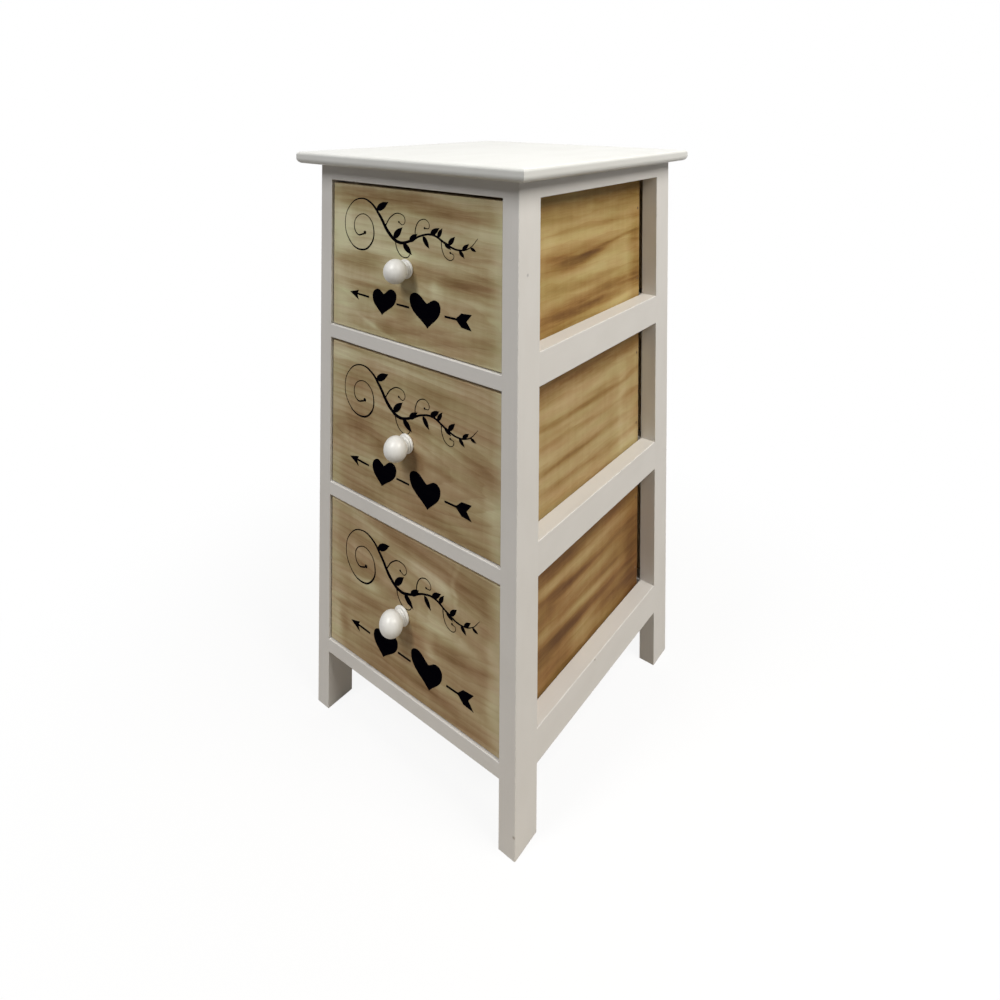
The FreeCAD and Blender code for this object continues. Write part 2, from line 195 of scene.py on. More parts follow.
def millimetres(tree, axes, corner=(0, 0, 0)):
    # place on a board in millimetres from its corner: along the grain, across it, and into the board
    parts = put(tree, "SeparateXYZ", {0: put(tree, "TexCoord").outputs["Object"]})
    moved = [sums(tree, "MULTIPLY_ADD", parts.outputs[axis], 1 / mm, -start / mm)
             for axis, start in zip(axes, corner)]
    return put(tree, "CombineXYZ", {0: moved[0], 1: moved[1], 2: moved[2]}).outputs[0]


def newMaterial(name, **settings):
    material = bpy.data.materials.new(name)
    material.use_nodes = True
    tree = material.node_tree
    tree.nodes.clear()
    shader = put(tree, "BsdfPrincipled", settings)
    output = put(tree, "OutputMaterial")
    tree.links.new(shader.outputs["BSDF"], output.inputs["Surface"])
    return material, tree, shader


def wear(tree, shader, colour, roughness, height, relief):
    # wires a finish to the shader: colour, roughness, and a bump of the given relief in metres
    tree.links.new(colour, shader.inputs["Base Color"])
    tree.links.new(roughness, shader.inputs["Roughness"])
    bump = put(tree, "Bump", {"Height": height, "Strength": 0.6, "Distance": relief})
    tree.links.new(bump.outputs["Normal"], shader.inputs["Normal"])


# white paint, brushed along each stick, with the marks that handling left
paint = {
    "colour": (0.700, 0.690, 0.675),
    "shade": (0.655, 0.642, 0.622),
    "strokes": {"stretch": (0.012, 0.55, 0.55), "detail": 4.0, "rough": 0.6},
    "strokeShare": 0.45,
    "cloud": {"stretch": (0.02, 0.035, 0.035), "detail": 2.0},
    "cloudShare": 0.9,
    "toneStart": -0.1,
    "toneSpan": (0.15, 0.75),
    "roughness": (0.40, 0.54),
    "relief": 0.00010,
}
grainAxes = {"X": "XZY", "Y": "YZX", "Z": "ZXY"}
paintMarks = {      # for each stick: the middle and reach of a mark in metres, and its colour
    "side_rail_right_3": [((0.1385, -0.0105, 0.094), 0.0016, (0.20, 0.16, 0.12))],
    "leg_front_right": [
        ((0.1385, -0.1365, 0.520), 0.0024, (0.42, 0.41, 0.42)),
        ((0.1370, -0.1502, 0.021), 0.0022, (0.34, 0.30, 0.26)),
    ],
}


def paintStick(name, axis, marks=()):
    material, tree, shader = newMaterial(name)
    place = millimetres(tree, grainAxes[axis])
    strokes = grainNoise(tree, place, **paint["strokes"])
    cloud = grainNoise(tree, place, **paint["cloud"])
    tone = sums(tree, "MULTIPLY_ADD", strokes, paint["strokeShare"], paint["toneStart"])
    tone = sums(tree, "MULTIPLY_ADD", cloud, paint["cloudShare"], tone, clamp=True)
    colour = twoTone(tree, tone, paint["toneSpan"], paint["shade"], paint["colour"])
    objectPlace = put(tree, "TexCoord").outputs["Object"]
    for middle, reach, markColour in marks:
        mark = spot(tree, objectPlace, middle, (reach, reach, reach))
        colour = blend(tree, mark, colour, (*markColour, 1))
    wear(tree, shader, colour, spread(tree, strokes, *paint["roughness"]), strokes, paint["relief"])
    return material


# the top board: sprayed white, a little glossier than the frame
board = {
    "colour": (0.68, 0.692, 0.682),
    "shade": (0.66, 0.670, 0.658),
    "cloud": {"stretch": (0.012, 0.03, 0.03), "detail": 2.0},
    "toneSpan": (0.35, 0.6),
    "skin": {"stretch": (0.5, 0.9, 0.9), "detail": 2.0},
    "roughness": (0.36, 0.48),
    "relief": 0.00006,
}


def boardPaint():
    material, tree, shader = newMaterial("boardWhite")
    place = millimetres(tree, "YXZ")
    cloud = grainNoise(tree, place, **board["cloud"])
    skin = grainNoise(tree, place, **board["skin"])
    colour = twoTone(tree, cloud, board["toneSpan"], board["shade"], board["colour"])
    wear(tree, shader, colour, spread(tree, skin, *board["roughness"]), skin, board["relief"])
    return material


# knobs: turned wood dipped in white
knob = {
    "colour": (0.81, 0.815, 0.80),
    "shade": (0.765, 0.765, 0.745),
    "turned": {"stretch": (1.4, 0.12, 0.12), "detail": 3.0},
    "toneSpan": (0.3, 0.6),
    "roughness": (0.28, 0.38),
    "relief": 0.00005,
}


def knobPaint():
    material, tree, shader = newMaterial("knobWhite")
    place = millimetres(tree, "YXZ")
    turned = grainNoise(tree, place, **knob["turned"])
    colour = twoTone(tree, turned, knob["toneSpan"], knob["shade"], knob["colour"])
    wear(tree, shader, colour, spread(tree, turned, *knob["roughness"]), turned, knob["relief"])
    return material


# torched wood. Each board has its base tone, the heart of its log as (along, across, depth, taper), the gap
# and depth of its rings, and streaks of (along, across, half length, half height, tilt, strength), all in
# millimetres and degrees from the board's lower corner at the left or at the front. A strength below 0
# leaves the wood pale. The colours run from unburnt to charred
frontBoards = {
    1: {
        "base": 0.30, "pith": (150, 34, 26, 0.14), "ringGap": 7.5, "ringDepth": 0.08, "seed": 3.0,
        "tint": (0.99, 1.02, 0.97),
        "streaks": [
            (25, 142, 45, 9, -2, 0.42), (138, 141, 50, 9, -6, 0.44), (95, 148, 40, 6, 0, 0.24),
            (195, 138, 40, 7, -2, 0.22), (225, 148, 20, 6, 0, 0.12), (60, 150, 30, 5, 0, 0.16),
            (24, 73, 20, 8, 0, 0.24), (56, 75, 16, 9, 0, 0.34), (190, 71, 45, 8, -3, 0.44),
            # (130, 76) on this line is a painted shadow of the knob, not burn
            (192, 70, 24, 4, -4, 0.20), (222, 81, 20, 6, 0, 0.28), (130, 76, 16, 10, 0, 0.24),
            (204, 99, 32, 9, 0, 0.26), (150, 97, 50, 4, 0, 0.12), (150, 122, 40, 3, -3, 0.14),
            (55, 52, 60, 2.6, 0, 0.20), (180, 50, 60, 3, 0, 0.14), (58, 46, 24, 6, 0, 0.22),
            (84, 12, 12, 6, 0, 0.28), (166, 12, 24, 8, 0, 0.30), (112, 14, 28, 8, 0, 0.22),
            (214, 15, 24, 9, 0, 0.26), (196, 40, 34, 7, 0, 0.16), (104, 44, 14, 12, 0, 0.24),
            (12, 116, 18, 18, 0, -0.44), (60, 108, 44, 10, 0, -0.14), (190, 126, 44, 4, -2, -0.12),
            (157, 63, 6, 8, 40, -0.26), (14, 30, 12, 24, 0, -0.16), (62, 11, 24, 2.2, -15, -0.22),
            (84, 92, 40, 5, 0, -0.20), (14, 90, 16, 8, 0, -0.22), (118, 24, 110, 16, 0, 0.11),
            (130, 90, 100, 8, 0, -0.07),
        ],
    },
    2: {
        "base": 0.48, "pith": (120, 62, 15, 0.20), "ringGap": 6.5, "ringDepth": 0.11, "seed": 11.0,
        "tint": (0.985, 1.0, 0.975),
        "streaks": [
            (150, 136, 26, 7, 0, 0.24), (196, 132, 32, 9, 3, 0.08), (50, 125, 18, 10, 0, 0.18),
            (40, 74, 20, 14, 0, 0.36), (5, 58, 9, 14, 0, 0.30), (76, 62, 12, 9, -20, 0.36),
            (130, 62, 13, 9, -14, 0.34), (168, 60, 40, 3.5, -12, 0.26), (214, 80, 20, 8, -16, 0.34),
            (190, 26, 44, 9, 0, 0.16), (150, 12, 20, 7, 0, 0.26), (46, 5, 24, 6, 0, 0.24),
            (204, 6, 34, 6, 0, 0.26), (110, 96, 60, 4, 0, 0.16), (36, 27, 22, 5, 0, 0.16),
            (180, 110, 54, 5, 0, 0.12), (90, 24, 30, 5, 0, 0.14), (228, 66, 10, 12, 0, 0.12),
            (16, 146, 22, 6, 0, -0.28), (100, 147, 100, 6, 0, -0.20), (20, 100, 13, 22, 0, -0.14),
            (200, 52, 34, 6, -14, -0.10), (164, 76, 30, 10, 0, -0.10), (226, 40, 10, 22, 0, -0.22),
            (128, 103, 60, 3, 0, -0.12), (133, 92, 14, 8, 0, 0.14), (186, 64, 30, 9, 0, 0.15),
            (62, 42, 24, 6, 0, -0.14), (80, 14, 70, 10, 0, 0.08),
        ],
    },
    3: {
        "base": 0.47, "pith": (100, 96, 20, 0.16), "ringGap": 7.0, "ringDepth": 0.10, "seed": 23.0,
        "tint": (0.98, 0.98, 0.96),
        "streaks": [
            (120, 147, 44, 6, -6, 0.32), (200, 144, 34, 9, 0, 0.30), (206, 128, 26, 9, 0, 0.28),
            (58, 126, 34, 6, -5, 0.22), (40, 96, 26, 7, 0, 0.22), (60, 104, 18, 6, 0, 0.18),
            (66, 66, 22, 5, 4, 0.32), (40, 52, 30, 3, 8, 0.26), (184, 64, 34, 7, 3, 0.36),
            (210, 88, 16, 6, -10, 0.20), (228, 110, 10, 16, 0, 0.20), (133, 62, 12, 12, 0, 0.22),
            (100, 16, 44, 6, 0, 0.26), (170, 14, 50, 6, -6, 0.30), (24, 26, 7, 14, 0, 0.26),
            (120, 4, 80, 5, 0, 0.26), (100, 90, 26, 6, 0, 0.14), (18, 70, 26, 10, 0, 0.10),
            (196, 44, 32, 5, 0, 0.14), (224, 70, 12, 8, 0, 0.14),
            (150, 128, 30, 5, -3, -0.34), (172, 124, 8, 8, 0, -0.16), (56, 84, 26, 5, 5, -0.30),
            (160, 84, 44, 7, 0, -0.30), (150, 58, 8, 12, 30, -0.26), (184, 134, 2.6, 18, 0, -0.20),
            (230, 50, 8, 26, 0, -0.20), (10, 40, 10, 44, 0, -0.18), (66, 35, 26, 5, 0, -0.10),
            (70, 146, 40, 5, -8, -0.20), (166, 30, 26, 5, 0, -0.06), (104, 143, 18, 8, 0, 0.12),
            (15, 116, 14, 12, 0, 0.14), (105, 38, 80, 12, 0, 0.12), (100, 92, 40, 9, 0, 0.07),
        ],
    },
}
frontColours = [
    (0.00, (0.750, 0.705, 0.510)),
    (0.20, (0.600, 0.525, 0.355)),
    (0.40, (0.450, 0.345, 0.208)),
    (0.60, (0.335, 0.225, 0.122)),
    (0.80, (0.240, 0.145, 0.070)),
    (1.00, (0.165, 0.094, 0.042)),
]
# on the side boards the streaks along the top are partly burn and partly painted shade under the rail above,
# and the streaks at the rear end are painted shade beside the rear leg
sideBoards = {
    1: {
        "base": 0.40, "pith": (40, -50, 40, 0.05), "ringGap": 13.0, "ringDepth": 0.08, "seed": 5.0,
        "tint": (1.0, 0.985, 0.86),
        "streaks": [
            # (150, 136), (165, 149) and (240, 138): burn with painted shade under the rail above
            (150, 136, 190, 8, 0, 0.14), (165, 149, 120, 8, 0, 0.14), (240, 138, 40, 12, 0, 0.14),
            (180, 113, 110, 2.6, 0, 0.14), (150, 83, 36, 4.5, 9, 0.40), (105, 80, 44, 11, 2, 0.26),
            (128, 80, 46, 11, 5, 0.18), (208, 91, 40, 1.8, 4, 0.26), (82, 87, 26, 8, 0, 0.22),
            (250, 93, 30, 2.6, 0, 0.24), (88, 55, 46, 4.5, -2, 0.20), (165, 53, 60, 3, 2, 0.12),
            (182, 36, 84, 9, 2, 0.34), (95, 27, 70, 10, 0, 0.34), (150, 26, 44, 3.4, 3, 0.14),
            # (257, 52) and (256, 88) here and (256, 108) below: painted shade at the rear end
            (257, 52, 12, 34, 0, 0.34), (256, 88, 12, 14, 0, 0.16), (74, 18, 50, 4, 0, 0.10),
            (160, 104, 110, 5, 0, -0.14), (175, 69, 70, 7, 3, -0.26), (84, 70, 44, 5, 0, -0.12),
            (232, 64, 30, 8, 8, -0.10), (112, 44, 34, 3.5, 0, -0.14), (225, 20, 34, 4, 4, -0.20),
            (62, 108, 18, 11, 0, -0.18), (256, 108, 14, 12, 0, 0.18), (150, 122, 90, 4, 0, -0.06),
        ],
    },
    2: {
        "base": 0.38, "pith": (20, -80, 60, 0.03), "ringGap": 19.0, "ringDepth": 0.08, "seed": 14.0,
        "tint": (1.0, 1.0, 1.03),
        "streaks": [
            # (130, 137): burn with painted shade under the rail above
            (130, 137, 190, 8, 0, 0.36), (100, 127, 90, 6, 0, 0.10), (210, 127, 70, 5, 2, 0.12),
            (90, 99, 60, 3.4, -2, 0.26), (176, 97, 46, 3.0, 0, 0.24), (246, 101, 26, 3.4, 10, 0.20),
            (120, 79, 90, 2.6, -1, 0.12), (88, 54, 50, 3.6, 0, 0.28), (176, 54, 46, 3.6, 0, 0.26),
            (140, 33, 90, 3.2, 0, 0.22), (170, 106, 26, 3.5, 0, 0.12), (110, 88, 40, 3, 0, 0.10),
            # (80, 18): painted shade along the bottom edge; (258, 48): painted shade at the rear end
            (80, 18, 60, 4, 0, 0.12), (248, 78, 18, 3, 0, 0.16), (258, 48, 8, 26, 0, 0.10),
            (220, 84, 9, 40, 0, -0.16), (220, 30, 10, 24, 0, -0.12), (240, 24, 20, 12, 0, -0.20),
            (120, 114, 80, 5, 0, -0.10), (70, 66, 44, 4, 0, -0.10), (246, 54, 18, 14, 0, -0.14),
            (250, 24, 16, 12, 0, -0.12),
        ],
    },
    3: {
        "base": 0.66, "pith": (60, -40, 45, 0.05), "ringGap": 15.0, "ringDepth": 0.09, "seed": 31.0,
        "tint": (0.98, 0.94, 0.92),
        "streaks": [
            # (150, 133): burn with painted shade under the rail above
            (150, 133, 130, 8, 1, 0.34), (84, 124, 40, 5, 0, 0.22), (86, 98, 42, 7, 0, 0.34),
            (165, 96, 60, 3, 0, 0.24), (230, 122, 34, 6, -4, 0.16), (64, 83, 24, 5, 0, 0.18),
            (84, 51, 44, 8, 0, 0.40), (110, 49, 22, 4, 0, 0.14), (176, 50, 46, 6, 0, 0.24),
            # (254, 62) here and (254, 24) below: painted shade at the rear end
            (254, 62, 20, 34, 0, 0.40), (190, 72, 30, 6, 0, 0.18), (92, 28, 22, 8, 0, 0.14),
            (214, 36, 44, 6, 0, 0.24), (240, 96, 26, 6, 0, 0.12), (254, 24, 18, 12, 0, 0.20),
            (156, 112, 60, 6.5, 3, -0.30), (66, 110, 22, 5, 0, -0.24), (140, 85, 50, 5, 0, -0.22),
            (64, 68, 26, 4, 0, -0.20), (140, 62, 56, 4.5, 0, -0.24), (140, 36, 44, 7, 0, -0.16),
            (60, 30, 14, 11, 0, 0.12), (215, 24, 44, 11, 0, 0.12), (132, 26, 16, 9, 0, -0.10),
        ],
    },
}
sideColours = [
    (0.00, (0.570, 0.475, 0.275)),
    (0.20, (0.500, 0.385, 0.195)),
    (0.40, (0.400, 0.275, 0.118)),
    (0.60, (0.290, 0.168, 0.058)),
    (0.80, (0.190, 0.096, 0.032)),
    (1.00, (0.115, 0.052, 0.017)),
]
bareWood = {"pale": (0.66, 0.53, 0.35), "dark": (0.52, 0.39, 0.23)}
torch = {
    "sheen": 0.18,
    "seedStep": (97, 31, 0),        # how many millimetres further on a board is cut for each step of its seed
    "sway": {"stretch": (0.008, 0.030, 0.02), "detail": 2.0, "output": "Color"},
    "swayReach": (30, 8, 0),        # how far the grain and the flame wander, in millimetres
    "uneven": {"stretch": (0.012, 0.07, 0.07), "detail": 2.0},
    "unevenRings": 1.6,
    "fibre": {"stretch": (0.030, 1.3, 1.3), "detail": 5.0, "rough": 0.60},
    "fibreShare": 0.20,
    "pores": {"stretch": (0.09, 4.5, 4.5), "detail": 2.0},
    "poreSpan": (0.60, 0.72),
    "poreShare": 0.10,
    "cloud": {"stretch": (0.014, 0.055, 0.05), "detail": 4.0, "rough": 0.58},
    "cloudShare": 0.50,
    "planed": {"stretch": (0.12, 0.012, 0.02), "detail": 2.0},
    "planedShare": 0.16,
    "licks": {"stretch": (0.020, 0.22, 0.1), "detail": 3.0, "rough": 0.6},
    "lickSpan": (0.75, 1.25),
    "through": 1e4,                 # a streak's reach into the board: it doesn't fade with depth
    "leftEnd": (26, 0.72),          # how far from a front's end the flame fades, and to what share
    "rightEnd": (18, 0.55),
    "fullTone": 1.25,               # the tone of the last colour
    "tint": {"stretch": (0.012, 0.05, 0.05), "detail": 2.0},
    "tintSpan": (0.35, 0.65),
    "olive": (0.96, 1.0, 0.93),
    "rosy": (1.0, 0.955, 0.96),
    "charDepth": (0.9, 1.6),        # the torched colour ends between these depths, in millimetres
    "bareSpan": (0.35, 0.6),
    "bareRings": 0.35,
    "ringRelief": 0.5,
    "roughness": (0.52, 0.66),
    "relief": 0.00018,
}


def lateWood(tree, rings):
    # rings counts the growth rings: each darkens slowly and ends sharply
    part = sums(tree, "FRACT", rings)
    darker = remap(tree, part, 0.30, 0.90, 0.0, 1.0)
    return sums(tree, "MULTIPLY", darker, remap(tree, part, 0.90, 1.0, 1.0, 0.0))


def growthRings(tree, grain, seeded, along, across):
    # cones about the heart of the log, cut by the face of the board
    heartAlong, heartAcross, heartDepth, taper = grain["pith"]
    rise = sums(tree, "SUBTRACT", across, heartAcross)
    away = sums(tree, "MULTIPLY_ADD", along, taper, heartDepth - heartAlong * taper)
    distance = lengthOf(tree, put(tree, "CombineXYZ", {0: rise, 1: away}).outputs[0])
    uneven = grainNoise(tree, seeded, **torch["uneven"])
    rings = sums(tree, "DIVIDE", distance, grain["ringGap"])
    return lateWood(tree, sums(tree, "MULTIPLY_ADD", uneven, torch["unevenRings"], rings))


def flameAndShadeMarks(tree, grain, seeded, bent):
    # streaks add burn, and those set by a knob, under a rail or by the rear leg add painted shade
    burnAndShade = 0.0
    for streakAlong, streakAcross, halfLength, halfHeight, tilt, strength in grain["streaks"]:
        reach = (2 * halfLength, 2 * halfHeight, torch["through"])
        patch = spot(tree, bent, (streakAlong, streakAcross, 0), reach, tilt)
        burnAndShade = sums(tree, "MULTIPLY_ADD", patch, strength, burnAndShade)
    # flames lick unevenly: the soot of each streak, and the painted shade of the shade streaks, breaks up
    # along the fibres
    licks = grainNoise(tree, seeded, **torch["licks"])
    return sums(tree, "MULTIPLY", burnAndShade, spread(tree, licks, *torch["lickSpan"]))


def endFade(tree, along, length):
    # the flame stopped short of the board's ends
    leftReach, leftShare = torch["leftEnd"]
    rightReach, rightShare = torch["rightEnd"]
    left = remap(tree, along, 0, leftReach, leftShare, 1.0)
    right = remap(tree, along, length - rightReach, length, 1.0, rightShare)
    return sums(tree, "MULTIPLY", left, right)


def torchedWood(name, grain, axes, corner, inward, colours, length=None):
    # inward is +1 or -1, the way into the board from its torched face. Only a front gives its length
    material, tree, shader = newMaterial(name)
    shader.inputs["Specular IOR Level"].default_value = torch["sheen"]
    flat = millimetres(tree, axes, corner)
    seeded = vectors(tree, "ADD", flat, [grain["seed"] * step for step in torch["seedStep"]])

    # the grain and the flame both wander, so the place is bent by a soft noise first
    sway = vectors(tree, "ADD", grainNoise(tree, seeded, **torch["sway"]), (-0.5, -0.5, -0.5))
    bent = vectors(tree, "ADD", flat, vectors(tree, "MULTIPLY", sway, torch["swayReach"]))
    parts = put(tree, "SeparateXYZ", {0: bent})
    along, across = parts.outputs[0], parts.outputs[1]
    late = growthRings(tree, grain, seeded, along, across)

    # the tone: streaks of burn and painted shade, cloudy soot, the planer's faint marks across the board,
    # rings, fibres and dark pores
    fibre = grainNoise(tree, seeded, **torch["fibre"])
    tone = sums(tree, "ADD", flameAndShadeMarks(tree, grain, seeded, bent), grain["base"])
    tone = vary(tree, tone, grainNoise(tree, seeded, **torch["cloud"]), torch["cloudShare"])
    tone = vary(tree, tone, grainNoise(tree, seeded, **torch["planed"]), torch["planedShare"])
    tone = sums(tree, "MULTIPLY_ADD", late, grain["ringDepth"], tone)
    tone = vary(tree, tone, fibre, torch["fibreShare"])
    pores = remap(tree, grainNoise(tree, seeded, **torch["pores"]), *torch["poreSpan"], 0.0, 1.0)
    tone = sums(tree, "MULTIPLY_ADD", pores, torch["poreShare"], tone)
    if length:
        tone = sums(tree, "MULTIPLY", tone, endFade(tree, along, length))
    colour = ramp(tree, sums(tree, "MULTIPLY", tone, 1 / torch["fullTone"]), colours)

    # the oil turned the wood olive in some places and rosy in others
    tint = grainNoise(tree, seeded, **torch["tint"])
    tint = twoTone(tree, tint, torch["tintSpan"], torch["olive"], torch["rosy"])
    colour = blend(tree, 1.0, colour, tint, "MULTIPLY")
    colour = blend(tree, 1.0, colour, (*grain["tint"], 1), "MULTIPLY")

    # the back of the board and its edges were never torched
    depth = sums(tree, "MULTIPLY", put(tree, "SeparateXYZ", {0: flat}).outputs[2], float(inward))
    behind = remap(tree, depth, *torch["charDepth"], 0.0, 1.0)
    bare = twoTone(tree, fibre, torch["bareSpan"], bareWood["dark"], bareWood["pale"])
    bareRings = sums(tree, "MULTIPLY", late, torch["bareRings"])
    bare = blend(tree, bareRings, bare, (*bareWood["dark"], 1))
    colour = blend(tree, behind, colour, bare)
    height = sums(tree, "MULTIPLY_ADD", late, torch["ringRelief"], fibre)
    roughness = remap(tree, tone, 0.0, 1.0, *torch["roughness"], "LINEAR")
    wear(tree, shader, colour, roughness, height, torch["relief"])
    return material


# sawn wood and plywood without a finish
plyColours = {"pale": (0.64, 0.52, 0.36), "dark": (0.55, 0.42, 0.27)}
sawn = {
    "fibre": {"stretch": (0.03, 1.4, 1.4), "detail": 5.0, "rough": 0.6},
    "fibreShare": 0.9,
    "wander": {"stretch": (0.012, 0.03, 0.03), "detail": 2.0},
    "wanderRings": 4.0,
    "ringShare": 0.45,
    "toneSpan": (0.3, 0.95),
    "roughness": (0.55, 0.7),
    "relief": 0.00015,
}


def bareBoard(name, axes, ringGap, colours):
    material, tree, shader = newMaterial(name)
    place = millimetres(tree, axes)
    fibre = grainNoise(tree, place, **sawn["fibre"])
    wander = grainNoise(tree, place, **sawn["wander"])
    rings = sums(tree, "DIVIDE", put(tree, "SeparateXYZ", {0: place}).outputs[1], ringGap)
    late = lateWood(tree, sums(tree, "MULTIPLY_ADD", wander, sawn["wanderRings"], rings))
    tone = sums(tree, "MULTIPLY", fibre, sawn["fibreShare"])
    tone = sums(tree, "MULTIPLY_ADD", late, sawn["ringShare"], tone)
    colour = twoTone(tree, tone, sawn["toneSpan"], colours["pale"], colours["dark"])
    wear(tree, shader, colour, spread(tree, fibre, *sawn["roughness"]), tone, sawn["relief"])
    return material


# screws and nails: zinc, but the drawers' nails were torched with the wood
steel = {
    "zincSteel": {"dark": (0.40, 0.40, 0.41), "light": (0.56, 0.56, 0.55), "metallic": 1.0},
    "sootedNails": {"dark": (0.115, 0.060, 0.028), "light": (0.170, 0.095, 0.045), "metallic": 0.2},
    "grain": {"stretch": (0.9, 0.9, 0.9), "detail": 4.0},
    "toneSpan": (0.35, 0.65),
    "roughness": (0.3, 0.5),
    "relief": 0.00003,
}


def steelFinish(name):
    tones = steel[name]
    material, tree, shader = newMaterial(name, Metallic=tones["metallic"])
    grain = grainNoise(tree, millimetres(tree, "XYZ"), **steel["grain"])
    colour = twoTone(tree, grain, steel["toneSpan"], tones["dark"], tones["light"])
    wear(tree, shader, colour, spread(tree, grain, *steel["roughness"]), grain, steel["relief"])
    return material


# the studio: the camera sees white all round, and the chest sees a dim room
room = {"colour": (1.0, 0.985, 0.96), "strength": 0.07}


def seenByCamera(tree):
    # 1 for what the camera sees straight, in gloss or through glass, and 0 for light that bounces
    rays = put(tree, "LightPath")
    seen = sums(tree, "MAXIMUM", rays.outputs["Is Camera Ray"], rays.outputs["Is Glossy Ray"])
    return sums(tree, "MAXIMUM", seen, rays.outputs["Is Transmission Ray"])


def makeRoom():
    world = bpy.data.worlds.new("studio")
    bpy.context.scene.world = world
    world.use_nodes = True
    tree = world.node_tree
    tree.nodes.clear()
    soft = put(tree, "Background", {"Color": (*room["colour"], 1), "Strength": room["strength"]})
    white = put(tree, "Background", {"Color": (1, 1, 1, 1), "Strength": 1.0})
    mixed = put(tree, "MixShader", {0: seenByCamera(tree), 1: soft.outputs[0], 2: white.outputs[0]})
    output = put(tree, "OutputWorld")
    tree.links.new(mixed.outputs[0], output.inputs["Surface"])


# the floor, in metres: it takes a soft shadow near the chest and glows into the white background. Light
# that bounces off it meets the near colour under the chest and the far colour further out
floor = {
    "size": 14,
    "colour": (0.84, 0.84, 0.83),
    "roughness": 0.85,
    "sheen": 0.1,
    "glow": 0.90,
    "glowReach": (0.20, 0.65),      # the glow is full from here on
    "near": (0.31, 0.26, 0.19),
    "far": (0.065, 0.060, 0.054),
    "bounceReach": (0.3, 1.2),
}


def floorFinish():
    material, tree, shader = newMaterial("paleFloor", Roughness=floor["roughness"])
    shader.inputs["Specular IOR Level"].default_value = floor["sheen"]
    distance = lengthOf(tree, put(tree, "TexCoord").outputs["Object"])
    seen = seenByCamera(tree)
    away = remap(tree, distance, *floor["bounceReach"], 0.0, 1.0)
    bounce = twoTone(tree, away, (0, 1), floor["near"], floor["far"])
    colour = blend(tree, seen, bounce, (*floor["colour"], 1))
    tree.links.new(colour, shader.inputs["Base Color"])
    glow = put(tree, "Emission", {"Color": (1, 1, 1, 1), "Strength": 1.0}).outputs[0]
    share = remap(tree, distance, *floor["glowReach"], floor["glow"], 1.0)
    mixed = put(tree, "MixShader", {0: sums(tree, "MULTIPLY", share, seen), 1: shader.outputs[0], 2: glow})
    output = next(node for node in tree.nodes if node.type == "OUTPUT_MATERIAL")
    tree.links.new(mixed.outputs[0], output.inputs["Surface"])
    return material


def deselectAll():
    bpy.ops.object.select_all(action="DESELECT")


def makeFloor():
    deselectAll()
    bpy.ops.mesh.primitive_plane_add(size=floor["size"])
    plane = bpy.context.object
    plane.name = "floor"
    plane.data.materials.append(floorFinish())


def dress(name, material):
    # gives a carried over node its finish
    piece = nodes[name]
    for slot in piece.material_slots:
        slot.material = material
    if not piece.material_slots:
        piece.data.materials.append(material)


# the way each stick's grain runs, and the growth rings' gaps in millimetres
stickAxes = {"leg_": "Z", "front_rail_": "X", "back_rail_": "X", "side_rail_": "Y"}
ringGaps = {"panel": 16.0, "runner": 5.0, "drawerBack": 6.0, "drawerBottom": 18.0}


def dressFrame():
    plain = {axis: paintStick("whitePaint" + axis, axis) for axis in "XYZ"}
    for name in nodes:
        for start, axis in stickAxes.items():
            if name.startswith(start):
                marks = paintMarks.get(name)
                dress(name, paintStick("whitePaint_" + name, axis, marks) if marks else plain[axis])
    dress("top_board", boardPaint())
    dress("back_panel", bareBoard("plywoodBack", "ZXY", ringGaps["panel"], plyColours))
    pine = bareBoard("pineRunner", "YXZ", ringGaps["runner"], bareWood)
    zinc = steelFinish("zincSteel")
    sooted = steelFinish("sootedNails")
    for name in nodes:
        if name.startswith(("runner_left_", "runner_right_")) or name.endswith("_dowels"):
            dress(name, pine)
        elif name.startswith("drawer_") and name.endswith("_nails"):
            dress(name, sooted)
        elif name.endswith(("_nails", "_screws")) or name.startswith("knob_screw_"):
            dress(name, zinc)
    print("frame dressed")


def dressDrawers():
    knobWhite = knobPaint()
    pineBack = bareBoard("pineDrawerBack", "XZY", ringGaps["drawerBack"], bareWood)
    plyBottom = bareBoard("plywoodBottom", "XYZ", ringGaps["drawerBottom"], plyColours)
    for number in drawerNumbers:
        drawer = "drawer_%d_" % number
        dress("knob_%d" % number, knobWhite)
        dress(drawer + "back", pineBack)
        dress(drawer + "bottom", plyBottom)

        low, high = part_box(drawer + "front")
        corner = (low.x, low.z, low.y)
        length = (high.x - low.x) / mm
        dress(drawer + "front", torchedWood("torchedFront%d" % number, frontBoards[number], "XZY",
                                            corner, 1, frontColours, length))

        # a side is torched on its outside and carries the painted shade of its streaks. The left ones wear
        # the next drawer's pattern, painted shade included
        low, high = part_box(drawer + "side_right")
        dress(drawer + "side_right", torchedWood("torchedSideRightAndShade%d" % number, sideBoards[number], "YZX",
                                                 (low.y, low.z, high.x), -1, sideColours))
        low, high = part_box(drawer + "side_left")
        other = sideBoards[number % len(drawerNumbers) + 1]
        dress(drawer + "side_left", torchedWood("torchedSideLeftAndShade%d" % number, other, "YZX",
                                                (low.y, low.z, low.x), 1, sideColours))
    print("drawers dressed")


